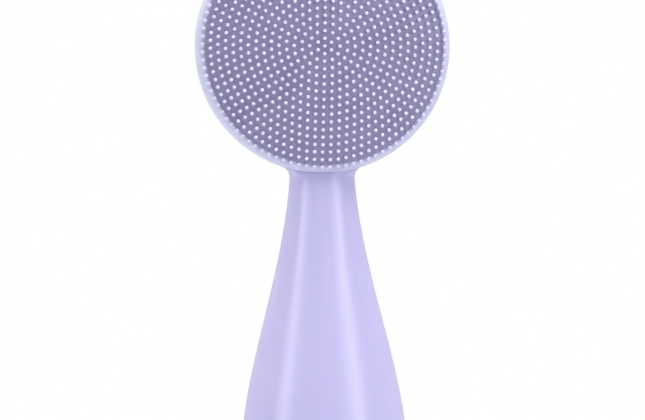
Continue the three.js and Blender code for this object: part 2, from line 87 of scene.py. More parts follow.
BASE_HALF = 16.4
BASE_EDGE = 2.8
BULB_HALF = 19.5
BULB_Z = 34.0
NECK_HALF = 7.5
NECK_Z = 104.4
NECK_LEAN = 0.9
DEPTH_SHARE = 0.95
NECK_FILLET = 2.5
NECK_END = (106.0, 10.0)  # where the neck starts to close inside the head, and how far it takes
LINING = 1.4  # the sleeve's wall, a little thinner than the CAD skin so that it clears the core's flare

HEAD_BACK = 11.4
FLAT_R = HEAD_R - 15  # the flat of the head's back
DOME_RISE = 3.2
DOME_R = HEAD_R - 1.1
CORE_FLOOR = 4.0
OPENING_R = 11.6  # the hole in the sleeve's base

BRISTLE_RINGS = 16
BRISTLE_PITCH = 1.793  # along the dome
BRISTLE_LENGTH = 1.7
PATTERN_TURN = math.radians(-1.25)
FIELD_R = 28.05  # the field of bristles ends and the smooth rim starts

BUTTON_R = 5.3
BUTTON_HOLE_R = 5.6
BUTTON_HOLE_BACK = -13.0
BUTTON_GROOVE = (-15.1, -14.0)  # the sealing groove's sides, along Y

# ---------------- curves and meshes


def bezier(points, count):
    """count + 1 points on the Bezier curve of any degree through its control points."""
    t = np.linspace(0, 1, count + 1)[:, None]
    levels = [np.asarray(p, float) for p in points]
    while len(levels) > 1:
        levels = [a * (1 - t) + b * t for a, b in zip(levels, levels[1:])]
    return levels[0]


def full_turn(count):
    """Angles evenly spaced round a circle."""
    return np.linspace(0, 2 * math.pi, count, endpoint=False)


def smoothstep(x, low, high):
    t = np.clip((np.asarray(x, float) - low) / (high - low), 0, 1)
    return t * t * (3 - 2 * t)


def mesh_object(name, points, faces):
    """A smooth-shaded object from points in millimetres."""
    mesh = bpy.data.meshes.new(name)
    mesh.from_pydata((np.asarray(points, float) * MM).tolist(), [], [list(map(int, f)) for f in faces])
    mesh.update()
    mesh.shade_smooth()
    piece = bpy.data.objects.new(name, mesh)
    scene.collection.objects.link(piece)
    return piece


def skin(rows):
    """Faces between rows of point numbers. A row may repeat one number, for a pole."""
    faces = []
    for low, high in zip(rows, rows[1:]):
        corners = np.column_stack([low, np.roll(low, -1), np.roll(high, -1), high]).tolist()
        faces += [[c for k, c in enumerate(face) if c != face[k - 1]] for face in corners]
    return faces


def loft(rings, poles=None, loop=False):
    """A form through rings of points. Poles close its ends, or a loop joins its last ring to its first."""
    rings = np.asarray(rings, float)
    count, sides = rings.shape[:2]
    points, rows = rings.reshape(-1, 3), [*np.arange(count * sides).reshape(count, sides)]
    if poles is not None:
        points = np.concatenate([points, poles])
        rows = [np.full(sides, count * sides), *rows, np.full(sides, count * sides + 1)]
    return points, skin(rows + rows[:1] if loop else rows)


def oval(angle, half_width, half_depth, z, y=0.0):
    """A level ring of points."""
    return np.column_stack([half_width * np.cos(angle), y + half_depth * np.sin(angle), 0 * angle + z])


def lathe(profile, segments, loop=False):
    """A turned form about +Z. Its profile runs anticlockwise, seen with the axis on its left.

    It starts and ends on the axis, or it is a loop clear of the axis.
    """
    profile, angle = np.asarray(profile, float), full_turn(segments)
    rings = [oval(angle, radius, radius, z) for radius, z in (profile if loop else profile[1:-1])]
    return loft(rings, None if loop else [(0, 0, z) for z in profile[[0, -1], 1]], loop)


def soften(profile, radius, loop=False):
    """Rounds each corner of a profile, by no more than its edges leave room for."""
    points = np.asarray(profile, float)
    made = []
    for i, corner in enumerate(points):
        if not loop and i in (0, len(points) - 1):
            made.append([corner])
            continue
        before, after = points[i - 1] - corner, points[(i + 1) % len(points)] - corner
        room = 0.45 * min(np.hypot(*before), np.hypot(*after))
        reach = min(radius, room)
        start, end = (corner + side / np.hypot(*side) * reach for side in (before, after))
        made.append(bezier([start, corner, end], 4))
    return np.concatenate(made)


def stairs(radii, levels):
    """A stepped profile: across from each radius to the next at one level, then along to the next level."""
    return [(radius, z) for *pair, z in zip(radii, radii[1:], levels) for radius in pair]


def turned(profile, radius=0.15, segments=96, loop=False):
    """A lathe form with softened corners. A loop is a ring's whole section."""
    return lathe(soften(profile, radius, loop), segments, loop)


def tube(path, radius, sides=12):
    """A round wire along a path of points, with closed ends."""
    path = np.asarray(path, float)
    along = np.gradient(path, axis=0)
    along /= np.linalg.norm(along, axis=1)[:, None]
    side = np.cross(along[0], (0.3, 0.5, 0.8))
    circles = []
    turn = full_turn(sides)[:, None]
    for point, forward in zip(path, along):
        side = side - forward * side.dot(forward)
        side /= np.linalg.norm(side)
        circles.append(point + radius * (np.cos(turn) * side + np.sin(turn) * np.cross(forward, side)))
    return loft(circles, path[[0, -1]])


def spline(points):
    """A smooth path through points."""
    p = np.asarray(points, float)
    p = np.concatenate([[2 * p[0] - p[1]], p, [2 * p[-1] - p[-2]]])
    t = np.arange(0, 1, 0.1)[:, None]
    pieces = [
        0.5 * (2 * b + (c - a) * t + (2 * a - 5 * b + 4 * c - d) * t**2 + (3 * b - a - 3 * c + d) * t**3)
        for a, b, c, d in zip(p, p[1:], p[2:], p[3:])
    ]
    return np.concatenate([*pieces, p[-2:-1]])


def box(x, y, z, edge=0.0):
    """A block between pairs of limits. Its edges are cut off at a slope when edge is given."""
    centre = [(a + b) / 2 for a, b in (x, y, z)]
    half = [abs(b - a) / 2 for a, b in (x, y, z)]
    corners = [(i, j, k) for i in (-1, 1) for j in (-1, 1) for k in (-1, 1)]
    mesh = bmesh.new()
    for corner in corners:
        for axis in range(3):
            size = [h - (edge if a != axis else 0) for a, h in enumerate(half)]
            mesh.verts.new([c + s * h for c, s, h in zip(centre, corner, size)])
    bmesh.ops.convex_hull(mesh, input=mesh.verts)
    mesh.verts.index_update()
    shape = np.array([v.co for v in mesh.verts]), [[v.index for v in f.verts] for f in mesh.faces]
    mesh.free()
    return shape


def moved(shape, x=0.0, y=0.0, z=0.0):
    points, faces = shape
    return points + (x, y, z), faces


def band(radii, angle, floor, roof):
    """A curved block about +Z, along an array of angles. Its floor and roof may change with the angle."""
    inner, outer = radii
    corners = [(inner, floor), (inner, roof), (outer, roof), (outer, floor)]
    points, faces = loft(np.stack([oval(angle, radius, radius, z) for radius, z in corners], axis=1))
    return points, [[3, 2, 1, 0], *faces, [*range(len(points) - 4, len(points))]]


def about_y(shape, z=0.0):
    """Turns a form about +Z into one about +Y, at the height z."""
    points, faces = shape
    return np.column_stack([points[:, 0], points[:, 2], z - points[:, 1]]), faces


def merge(*shapes):
    """One set of points and faces from several."""
    starts = np.cumsum([0] + [len(points) for points, _ in shapes])
    faces = [[int(c + start) for c in face] for start, (_, own) in zip(starts, shapes) for face in own]
    return np.concatenate([points for points, _ in shapes]), faces


def flipped(shape):
    points, faces = shape
    return points, [face[::-1] for face in faces]


def boolean(piece, shape, operation):
    """Joins a closed form to a piece, or cuts it out."""
    tool = mesh_object("tool", *shape)
    modifier = piece.modifiers.new(operation, "BOOLEAN")
    modifier.object, modifier.operation, modifier.solver = tool, operation, "EXACT"
    graph = bpy.context.evaluated_depsgraph_get()
    mesh = bpy.data.meshes.new_from_object(piece.evaluated_get(graph), depsgraph=graph)
    piece.modifiers.clear()
    piece.data = mesh
    bpy.data.objects.remove(tool)


def finished(name, shape, degrees=38, joined=(), cut=()):
    """A smooth piece, after each form in joined is added to it and each form in cut is taken from it."""
    piece = mesh_object(name, *shape)
    for form in joined:
        boolean(piece, form, "UNION")
    for form in cut:
        boolean(piece, form, "DIFFERENCE")
    piece.data.shade_smooth()
    piece.data.set_sharp_from_angle(angle=math.radians(degrees))
    return piece


def form_of(piece):
    """Takes a piece's form, in millimetres, and removes the piece."""
    points = np.array([v.co for v in piece.data.vertices]) / MM
    faces = [list(p.vertices) for p in piece.data.polygons]
    bpy.data.objects.remove(piece)
    return points, faces


# ---------------- the body's form


def handle_outline():
    """[half-width, z] from the edge of the resting face up to where the neck runs into the head."""
    edge = bezier([(BASE_HALF - BASE_EDGE, 0), (BASE_HALF - 0.2, 0), (BASE_HALF + 0.3, BASE_EDGE)], 10)
    grip = bezier([edge[-1], (BASE_HALF + 1.8, 10), (BULB_HALF, 21), (BULB_HALF, BULB_Z)], 40)
    taper = bezier([grip[-1], (BULB_HALF, BULB_Z + 20), (NECK_HALF, NECK_Z - 25), (NECK_HALF, NECK_Z)], 80)
    return np.concatenate([edge, grip[1:], taper[1:]])


OUTLINE = handle_outline()


def handle_half(z):
    start, length = NECK_END
    closing = np.sqrt(np.clip(1 - (np.maximum(z - start, 0) / length) ** 2, 0, 1))
    return np.interp(z, OUTLINE[:, 1], OUTLINE[:, 0]) * closing


def lean(z):
    return NECK_LEAN * smoothstep(z, BULB_Z, NECK_Z - 8)


# The back of the head, [radius, y] from the middle of the back out to the widest rim.
BOWL_FLAT = [(0, HEAD_BACK), (FLAT_R, HEAD_BACK)]
BOWL_SIDE = [BOWL_FLAT[1], (HEAD_R - 6.5, HEAD_BACK), (HEAD_R, RIM_Y + 7.5), (HEAD_R, RIM_Y)]
BOWL_BACK = np.concatenate([BOWL_FLAT[:1], bezier(BOWL_SIDE, 48)])
BOWL_FRONT = RIM_Y - 1.6  # the bowl is made this far forward, and the pad's seat is then cut from it


def bowl_distance(radius, y, front):
    """Signed distance from points in the (radius, y) half-plane to the bowl, negative inside."""
    profile = np.concatenate([BOWL_BACK, [(HEAD_R, front), (0, front)]])
    start, along = profile[:-1], np.diff(profile, axis=0)
    offset = np.stack([radius, y], axis=-1)[..., None, :] - start
    share = np.clip((offset * along).sum(-1) / (along**2).sum(-1), 0, 1)
    distance = np.linalg.norm(offset - share[..., None] * along, axis=-1).min(-1)
    inside = (radius < HEAD_R) & (y > front) & (y < np.interp(radius, *BOWL_BACK.T))
    return np.where(inside, -distance, distance)


def body_field(x, y, z, inset):
    """Negative inside the body's skin less the inset: the neck and the bowl, with a fillet between."""
    half = np.maximum(handle_half(z) - inset, 0.05)
    depth = np.maximum(handle_half(z) * DEPTH_SHARE - inset, 0.05)
    neck = (np.hypot(x / half, (y - lean(z)) / depth) - 1) * np.sqrt(half * depth)
    neck = np.where(z < sum(NECK_END), neck, HEAD_R)
    bowl = bowl_distance(np.hypot(x, z - HEAD_Z), y, BOWL_FRONT - inset) + inset
    fillet = NECK_FILLET + inset
    corner = np.hypot(np.maximum(fillet - neck, 0), np.maximum(fillet - bowl, 0))
    return np.maximum(fillet, np.minimum(neck, bowl)) - corner


def ring_centre(z):
    """The y from which a level slice of the body is seen whole."""
    back = np.interp(np.abs(z - HEAD_Z), *BOWL_BACK.T)
    share = smoothstep(z, NECK_TOP - 5, NECK_TOP + 3)
    return lean(z) * (1 - share) + (BOWL_FRONT + back) / 2 * share


def body_rings(levels, sides, inset):
    """Points on the body's skin, one ring at each level, found along rays from the ring's centre."""
    angle = full_turn(sides)[None, :]
    z = np.asarray(levels)[:, None] + 0 * angle
    centre = ring_centre(z)
    head_half = np.sqrt(np.clip(HEAD_R**2 - (z - HEAD_Z) ** 2, 0, None))
    wide = np.maximum(handle_half(z), head_half) + 0.5
    deep = np.minimum(wide, 9)
    ray = np.stack([wide * np.cos(angle), deep * np.sin(angle)])
    ray /= np.hypot(*ray)
    near, far = np.zeros_like(z), np.full_like(z, 1.3 * HEAD_R)
    for _ in range(24):
        middle = (near + far) / 2
        inside = body_field(ray[0] * middle, centre + ray[1] * middle, z, inset) < 0
        near, far = np.where(inside, middle, near), np.where(inside, far, middle)
    return np.stack([ray[0] * near, centre + ray[1] * near, z], axis=-1)


def closed_body(foot, levels, sides, inset):
    """The whole skin as one closed form. Its foot is rows of [half-width, z] below the levels."""
    angle = full_turn(sides)
    foot_rings = [oval(angle, half - inset, half * DEPTH_SHARE - inset, z) for half, z in foot]
    rings = np.concatenate([foot_rings, body_rings(levels, sides, inset)])
    top = (0, rings[-1, :, 1].mean(), HEIGHT - inset)
    return loft(rings, [(0, 0, foot[0][1]), top])


def head_levels(first, step, inset):
    """Levels over the head, evenly spaced round its outline."""
    radius = HEAD_R - inset
    start = math.acos((HEAD_Z - first) / radius)
    count = round((math.pi - start) * radius / step)
    return HEAD_Z - radius * np.cos(np.linspace(start, math.pi, count, endpoint=False))


# ---------------- silicone sleeve


def sleeve_skins():
    """The sleeve's outer skin, and its lining turned inside out."""
    edge = OUTLINE[OUTLINE[:, 1] <= BASE_EDGE + 1e-9]
    levels = np.concatenate([
        np.arange(BASE_EDGE + 0.7, NECK_TOP - 8, 0.8),
        np.arange(NECK_TOP - 8, NECK_TOP - 3, 0.4),
        np.arange(NECK_TOP - 3, NECK_TOP + 3, 0.15),
        head_levels(NECK_TOP + 3, 0.55, 0),
    ])
    outer = closed_body(edge, levels, 192, 0)
    floor = CORE_FLOOR - GAP
    lining_levels = np.concatenate([
        np.arange(floor + 1, NECK_TOP - 6, 2.0),
        np.arange(NECK_TOP - 6, NECK_TOP + 4, 0.4),
        head_levels(NECK_TOP + 4, 1.4, LINING),
    ])
    lining = closed_body([(handle_half(floor), floor)], lining_levels, 96, LINING)
    return outer, flipped(lining)


def massage_ridges():
    """Three low waves on a very thin disc that lies on the flat of the head's back."""
    ridge_radii, height, half_width, lift, sunk = (5, 9, 13), 0.9, 1.3, 0.05, 0.5
    radius = np.linspace(0, FLAT_R, 120)
    wave = sum(np.cos(np.clip((radius - r) / half_width, -1, 1) * math.pi / 2) ** 2 for r in ridge_radii)
    top = np.column_stack([radius, HEAD_BACK + lift + height * wave])[::-1]
    edge = [(0, HEAD_BACK - sunk), (FLAT_R + 0.4, HEAD_BACK - sunk)]
    return about_y(lathe([*edge, *top], 160), HEAD_Z)


def front_of_handle(x, z):
    half = handle_half(z)
    return lean(z) - half * DEPTH_SHARE * np.sqrt(1 - (x / half) ** 2)


def button_lip():
    """A thin bead on the handle's skin, round the button's hole."""
    bead, sunk = 0.42, 0.12
    radius = BUTTON_HOLE_R + bead * 0.8
    turn, section = full_turn(96)[:, None], full_turn(14)[None, :]
    middle_x, middle_z = radius * np.cos(turn), BUTTON_Z + radius * np.sin(turn)
    out = bead * np.cos(section)
    x, z = middle_x + out * np.cos(turn), middle_z + out * np.sin(turn)
    y = front_of_handle(middle_x, middle_z) + sunk + bead * np.sin(section)
    return flipped(loft(np.stack([x, y, z], axis=-1), loop=True))


def arc(centre, radius, start, end, count=8):
    """[x, y] points on an arc, angles in degrees."""
    angle = np.radians(np.linspace(start, end, count))
    return np.column_stack([centre[0] + radius * np.cos(angle), centre[1] + radius * np.sin(angle)])


def pad_seat():
    """The brush pad's room. It is cut to the pad's own side, and the bowl's edge behind it is rounded."""
    seat_y, edge, ahead = RIM_Y + SEAM, 0.18, -3 * HEAD_R
    side = pad_side() + (SEAM, 0)
    rounding = arc((HEAD_R - edge, seat_y + edge), edge, -12, -90)
    front = [(0, ahead), (side[0, 0], ahead), *side, (side[-1, 0], rounding[0, 1])]
    return about_y(lathe([*front, *rounding, (0, seat_y)], 256), HEAD_Z)


def base_opening():
    edge, mouth_r, below, roof = 0.6, OPENING_R + 1.4, -5, CORE_FLOOR + 2
    rounding = arc((OPENING_R + edge, edge), edge, -80, -180)
    mouth = [(0, below), (mouth_r, below), (mouth_r, -0.1)]
    return lathe([*mouth, *rounding, (OPENING_R, roof), (0, roof)], 160)


def button_hole():
    return about_y(lathe(stairs((0, BUTTON_HOLE_R, 0), (-HEAD_R, BUTTON_HOLE_BACK)), 96), BUTTON_Z)


def silicone_sleeve():
    outer, lining = sleeve_skins()
    raised = merge(massage_ridges(), button_lip())
    outside = form_of(finished("sleeve", outer, joined=[raised]))
    openings = merge(pad_seat(), base_opening(), button_hole())
    return finished("sleeve", merge(outside, lining), cut=[openings])


# ---------------- brush pad


def dome_y(radius):
    return FACE_Y + DOME_RISE * (np.asarray(radius) / DOME_R) ** 2


def rim_lift(radius):
    """How far the smooth rim stands above the dome."""
    return 0.4 * smoothstep(radius, FIELD_R - 0.2, FIELD_R + 0.5)


def face_y(radius):
    return dome_y(radius) - rim_lift(radius)


LIP_R = HEAD_R - 1.5  # the edge of the face, where the rim's side begins


def pad_side():
    """The rim's side, [radius, y] from the edge of the face back to where the head is widest."""
    lip = float(face_y(LIP_R))
    return bezier([(LIP_R, lip), (HEAD_R - 0.6, lip + 0.25), (HEAD_R, lip + 1.9), (HEAD_R, lip + 4.2)], 18)


def pad_profile():
    """[radius, y] from the middle of the face, round the rim and back inside."""
    field = np.linspace(0, FIELD_R - 0.3, 50)
    radius = np.concatenate([field, np.linspace(FIELD_R - 0.2, LIP_R, 14)])
    face = np.column_stack([radius, face_y(radius)])
    edge = 0.4
    back_edge = arc((HEAD_R - edge, RIM_Y - edge), edge, 0, 90, 5)
    wall_r, lip_r, lip = HEAD_R - SKIN, DOME_R - SKIN, dome_y(DOME_R) + SKIN
    inner_side = [(wall_r, RIM_Y), (wall_r, RIM_Y - 2.2), (wall_r - 0.4, lip + 0.6), (lip_r, lip)]
    radius = np.linspace(lip_r, 0, 24)[1:]
    inner_face = np.column_stack([radius, dome_y(radius * DOME_R / lip_r) + SKIN])
    return np.concatenate([face, pad_side()[1:], back_edge, bezier(inner_side, 8), inner_face])


def neck_channel():
    """The core's neck, which passes through the pad's wall."""
    low, high, flare = NECK_TOP - 6, NECK_TOP + 12, NECK_HALF + 0.3
    half, depth = flare - SKIN + GAP, flare * DEPTH_SHARE - SKIN + GAP
    rings = [oval(full_turn(64), half, depth, z, NECK_LEAN) for z in (low, high)]
    return loft(rings, [(0, NECK_LEAN, low), (0, NECK_LEAN, high)])


def brush_pad():
    return finished("brush_face", about_y(lathe(pad_profile(), 240), HEAD_Z), cut=[neck_channel()])


def bristle_radius(ring):
    """The radius at which a ring's distance along the dome is a whole number of pitches."""
    radius = np.linspace(0, HEAD_R, 600)
    slope = 2 * DOME_RISE * radius / DOME_R**2
    along = np.concatenate([[0], np.cumsum(np.hypot(1, (slope[1:] + slope[:-1]) / 2) * np.diff(radius))])
    return float(np.interp(ring * BRISTLE_PITCH, along, radius))


# One bristle: [radius, share of its height], from its sunk foot to its rounded tip.
BRISTLE = [
    (0, -0.12), (0.58, -0.12), (0.54, 0.03), (0.475, 0.14), (0.44, 0.45),
    (0.41, 0.76), (0.385, 0.88), (0.31, 0.955), (0.17, 0.992), (0, 1),
]


def bristles():
    """Closed, tapered pegs with round tips. The attribute height runs from 0 to 1 up each of them."""
    random = np.random.default_rng(7)
    peg, peg_faces = lathe(BRISTLE, 12)
    up = peg[:, 2]
    shapes = []
    for ring in range(BRISTLE_RINGS + 1):
        radius = bristle_radius(ring)
        foot_y = float(face_y(radius))
        for turn in full_turn(max(1, 6 * ring)):
            angle = PATTERN_TURN - math.pi / 2 + turn
            length = foot_y - float(dome_y(radius)) + BRISTLE_LENGTH * (1 + random.normal(0, 0.012))
            lean_x, lean_z = random.normal(0, 0.02, 2)
            x = peg[:, 0] + radius * math.cos(angle) + lean_x * up
            z = peg[:, 1] + radius * math.sin(angle) + lean_z * up + HEAD_Z
            shapes.append((np.column_stack([x, foot_y - length * up, z]), peg_faces))
    piece = mesh_object("bristles", *merge(*shapes))
    height = piece.data.attributes.new("height", "FLOAT", "POINT")
    height.data.foreach_set("value", np.tile(up, len(shapes)).astype(np.float32))
    return piece


# ---------------- power button


def power_button():
    """A dished push button with a small raised ring in its middle, and a sealing groove out of sight."""
    groove_r, flange_r, stem_r, edge = 4.5, 6.6, 1.3, 0.9
    flange, stem_back = (-13.2, -12.4), -11.85
    radius = np.linspace(0, BUTTON_R - edge, 44)
    ring = np.cos(np.clip((radius - 1.75) / 0.42, -1, 1) * math.pi / 2) ** 2
    dish = 0.45 * np.cos(radius / (BUTTON_R - edge) * math.pi / 2) ** 2
    front = np.column_stack([radius, BUTTON_FACE_Y + dish - 0.22 * ring])
    shoulder = arc((BUTTON_R - edge, BUTTON_FACE_Y + edge), edge, -90, 0, 10)[1:]
    radii = (BUTTON_R, groove_r, BUTTON_R, flange_r, stem_r, 0)
    side = stairs(radii, (*BUTTON_GROOVE, *flange, stem_back))
    return finished("button_cap", about_y(lathe([*front, *shoulder, *side], 96), BUTTON_Z))


# ---------------- battery compartment

CAP_FACE_Z = 0.6
CAP_R = 9.1
CAP_GROOVE = (4.5, 6.1)  # the O-ring groove's sides, along Z
CAP_DROP = 2.4  # a quarter turn lowers the cap by this much
LUG_Z = (1.6, 2.8)
LUG_R = 10.0
LUG_HALF = math.radians(11)
LUG_ANGLES = [math.radians(30 + 120 * i) for i in range(3)]
FLANGE_TOP = 3.0
RING_R = OPENING_R - 0.3  # the ring round the cap
MARK_R = 10.8  # the closed dot and the open dash on the ring round the cap
BATTERY_R = 5.25
BATTERY_Z = 11.4
BATTERY_TOP = BATTERY_Z + 44.5
BATTERY_BAND = 8.0  # the pale band at the battery's button


def capsule(half_length, radius, low, high):
    """A slot-shaped block, along X."""
    ends = [arc((half_length, 0), radius, -90, 90, 16), arc((-half_length, 0), radius, 90, 270, 16)]
    outline = np.concatenate(ends)
    count = len(outline)
    points, faces = loft([np.column_stack([outline, np.full(count, z)]) for z in (low, high)])
    return points, [[*range(count)][::-1], *faces, [*range(count, 2 * count)]]


def battery_cap():
    """A quarter-turn cap: a coin slot in a shallow dish, a dimple that shows its turn, and three lugs."""
    dish_z, dish_r, plug_r, seal_r, top = CAP_FACE_Z + 0.35, 7.9, 7.9, 6.7, 7.2
    radii = (dish_r + 0.3, CAP_R, plug_r, seal_r, plug_r, 0)
    side = stairs(radii, (CAP_FACE_Z, FLANGE_TOP, *CAP_GROOVE, top))
    body = turned([(0, dish_z), (dish_r, dish_z), *side], 0.25, 128)
    reach = np.linspace(-LUG_HALF, LUG_HALF, 17)
    lugs = [band((CAP_R - 0.6, LUG_R), angle + reach, *LUG_Z) for angle in LUG_ANGLES]
    slot = capsule(6.0, 1.05, CAP_FACE_Z - 1, CAP_FACE_Z + 1.4)
    dimple = moved(turned([(0, -1), (0.5, -1), (0.5, 0.35), (0, 0.55)], 0.1, 24), 0, 4.2, dish_z)
    return finished("cap", body, 30, [merge(*lugs)], [merge(slot, dimple)])


def lug_groove(start):
    """The way a lug takes as the cap turns: clockwise seen from above, down and out of the base."""
    play, reach, turn = 0.25, LUG_HALF + math.radians(3), math.pi / 2
    angle = np.linspace(start - turn - reach, start + reach, 41)
    floor, roof = (
        level - CAP_DROP * np.clip((start - angle + side * reach) / turn, 0, 1)
        for level, side in ((LUG_Z[0] - play, 1), (LUG_Z[1] + play, -1))
    )
    return band((CAP_R - 1, LUG_R + 0.3), angle, floor, roof)


def battery_housing():
    """The ring round the cap, with its lug grooves and two marks, and the battery's tube above it."""
    well_r, wall_r, cap_room_r, ledge = CAP_R + 0.3, 10.1, 8.5, FLANGE_TOP + 0.3
    tube_r, bore_r, hole_r, top, step = 6.9, 5.6, 2.2, 58.6, 8.3
    ring = stairs((well_r, RING_R, wall_r), (CAP_FACE_Z, FLANGE_TOP))
    shoulder = [(wall_r, step + 0.6), (tube_r + 0.6, step + 2.4), (tube_r, step + 4)]
    inside = stairs((tube_r, hole_r, bore_r, cap_room_r, well_r), (top, top - 1.2, step, ledge))
    body = turned([*ring, *shoulder, *inside], 0.2, 128, loop=True)
    strip_slot = box((7.25, 8.0), (-1.7, 1.7), (step - 1, step + 5))
    grooves = merge(strip_slot, *map(lug_groove, LUG_ANGLES))
    dot = moved(turned([(0, -1), (0.24, -1), (0.24, 0.1), (0, 0.16)], 0.06, 20), y=MARK_R, z=CAP_FACE_Z)
    dash = moved(capsule(0.28, 0.14, CAP_FACE_Z - 1, CAP_FACE_Z + 0.14), x=MARK_R)
    return finished("housing", body, 30, cut=[grooves, merge(dot, dash)])


def round_ring(radius, half_thickness):
    return lathe(arc((radius, 0), half_thickness, 0, 360, 17)[:-1], 96, loop=True)


def flat_ring(name, radii, levels, edge):
    """A turned ring with a four-sided section."""
    return finished(name, turned(stairs((*radii, radii[0]), levels), edge, loop=True))


def seals():
    """The rings in the button's and the cap's grooves, and the gasket above the housing's flange."""
    button_ring = moved(about_y(round_ring(5.0, 0.42), BUTTON_Z), y=sum(BUTTON_GROOVE) / 2)
    cap_ring = moved(round_ring(7.6, 0.7), z=sum(CAP_GROOVE) / 2)
    gasket = flat_ring("base_gasket", (10.25, RING_R - 0.1), (FLANGE_TOP + 0.1, CORE_FLOOR - GAP), 0.2)
    return finished("button_ring", button_ring, 60), finished("cap_ring", cap_ring, 60), gasket


def contact_spring():
    """A cone spring whose end turns lie flat."""
    turns, foot_z, rise, foot_r, taper, flat = 3, 8.05, 2.9, 4.2, 1.6, 0.12
    t = np.linspace(0, 1, 260)
    z = foot_z + rise * np.clip((t - flat) / (1 - 2 * flat), 0, 1)
    angle, radius = 2 * math.pi * turns * t, foot_r - taper * t
    return finished("battery_spring", tube(oval(angle, radius, radius, z), 0.28), 60)


def battery_wrap():
    """The printed sleeve, drawn in a little over both ends."""
    low, high, inner_r = BATTERY_Z, BATTERY_TOP - 1.0, BATTERY_R - 0.12
    section = [
        (4.1, low), (4.75, low), (BATTERY_R, low + 0.55), (BATTERY_R, high - 0.6), (4.7, high), (3.9, high),
        (3.9, high - 0.12), (4.6, high - 0.14), (inner_r, high - 0.7), (inner_r, low + 0.65),
        (4.65, low + 0.13), (4.1, low + 0.12),
    ]
    return finished("cell_wrap", turned(section, 0.25, loop=True))


def battery_steel():
    """The steel can inside the sleeve, with its flat end and its button."""
    low, high, can_r = BATTERY_Z + 0.02, BATTERY_TOP - 1.15, BATTERY_R - 0.16
    profile = [
        (0, low), (3.4, low), (3.7, low + 0.25), (4.4, low + 0.25), (can_r, low + 0.8), (can_r, high - 0.6),
        (4.5, high), (3.1, high), (2.8, high - 0.35), (2.2, high - 0.35), (1.9, high + 0.1),
        (1.9, BATTERY_TOP), (0, BATTERY_TOP),
    ]
    return finished("cell_steel", turned(profile, 0.3))


def top_contact():
    """The disc over the battery, with a pin that comes down to the battery's button."""
    pin_r, disc_r, levels = 1.6, 4.6, (56.3, 58.8, 59.2)
    return finished("top_contact", turned(stairs((0, pin_r, disc_r, 0), levels), 0.1))


# ---------------- motor, board and screws

MOTOR_R = 5.0
MOTOR_Y = 1.5


def motor_can():
    wall, low, high, nose_r, hole_r = 0.6, 112.0, 130.0, 2, 1.2
    radii = (MOTOR_R - wall, MOTOR_R, nose_r, hole_r, MOTOR_R - wall)
    section = stairs(radii, (low, high, high + 0.9, high - wall))
    return finished("motor_shell", moved(turned(section, 0.5, loop=True), y=MOTOR_Y))


def motor_shaft():
    radius, ends = 0.8, (112.6, 138)
    return finished("rotor_shaft", moved(turned(stairs((0, radius, 0), ends), segments=32), y=MOTOR_Y))


def motor_armature():
    """Three poles, each wound with wire whose turns can be seen."""
    low, high, turn_pitch, wound_r, hole_r = 115.5, 126.5, 0.34, 3.78, 1.0
    slot_half, slot_depth, wire_depth, angle = 0.13, 1.5, 0.06, full_turn(120)
    slot = slot_depth * np.exp(-((np.angle(np.exp(3j * angle)) / 3 / slot_half) ** 2))
    rings = []
    for z in np.linspace(low, high, int((high - low) / turn_pitch * 6) + 1):
        shoulder = 0.6 * (1 - math.sqrt(1 - (abs(2 * z - low - high) / (high - low)) ** 12))
        wire = wire_depth * abs(math.sin(math.pi * (z - low) / turn_pitch))
        radius = wound_r - shoulder + wire - slot
        rings.append(oval(angle, radius, radius, z, MOTOR_Y))
    rings += [oval(angle, hole_r, hole_r, z, MOTOR_Y) for z in (high, low)]
    return finished("motor_windings", loft(rings, loop=True), 60)


def screw_shape(length, way):
    """A cross-head screw with its seat at the origin. Its thread runs along -Y if way is -1, or +Y if 1."""
    shank, head, rise, pitch, angle = 0.9, 1.7, 1.2, 0.62, full_turn(20)
    levels = np.linspace(-length + 0.5, -0.35, int(length / pitch * 7))
    taper = np.clip((levels + length) / 1.1, 0.3, 1)
    thread = [
        shank * (0.86 + 0.14 * np.clip(1.6 * np.cos(angle - 2 * math.pi * z / pitch), -1, 1)) * share
        for z, share in zip(levels, taper)
    ]
    crown = soften([(shank, 0), (head, 0), (head * 0.98, 0.45), (head * 0.7, rise), (0, rise)], 0.3)[1:-1]
    radii = [shank * 0.2, *thread, shank, shank, *crown[:, 0]]
    heights = [-length, *levels, -0.2, 0, *crown[:, 1]]
    rings = [oval(angle, radius, radius, z) for radius, z in zip(radii, heights)]
    blank = about_y(loft(rings, [(0, 0, -length), (0, 0, rise)]))
    arms = [(0.27, 1.05), (1.05, 0.27)]
    cross = [box((-x, x), (rise - 0.65, rise + 1), (-z, z)) for x, z in arms]
    points, faces = form_of(finished("blank", blank, cut=cross))
    return points * (1, -way, -way), faces


def chip_legs():
    """Four bent legs on each side of the chip, down to the board."""
    low, high = box_mm("controller_chip")
    knee, foot, thick, count = high[1] - 0.7, high[1] - 0.08, 0.08, 4
    bends = [(-0.2, knee), (0.35, knee), (0.55, foot), (1.1, foot)]  # [out from the chip, y]
    legs = []
    for i in range(count):
        z = low[2] + (high[2] - low[2]) * (i + 0.5) / count
        for side, x in ((-1, low[0]), (1, high[0])):
            path = [(x + side * out, y) for out, y in bends]
            for (x1, y1), (x2, y2) in zip(path, path[1:]):
                wide, deep = sorted((x1, x2 + side * 0.05)), sorted((y1 - thick, y2 + thick))
                legs.append(box(wide, deep, (z - 0.2, z + 0.2), 0.03))
    return finished("chip_pins", merge(*legs), 20)


# Where the small parts stand on the board: [x, z], and whether each lies across the board.
PASSIVES = [
    (3.6, 43.2, False), (5.1, 43.2, False), (-3.4, 49.0, True), (-3.4, 47.0, True),
    (4.6, 35.6, True), (-4.4, 36.2, False), (-5.2, 28.0, False),
]
LEAD_ENDS = [(-2.8, 55.3), (0, 55.3), (2.8, 55.3), (6.8, 49)]  # where leads meet the board's edges, [x, z]


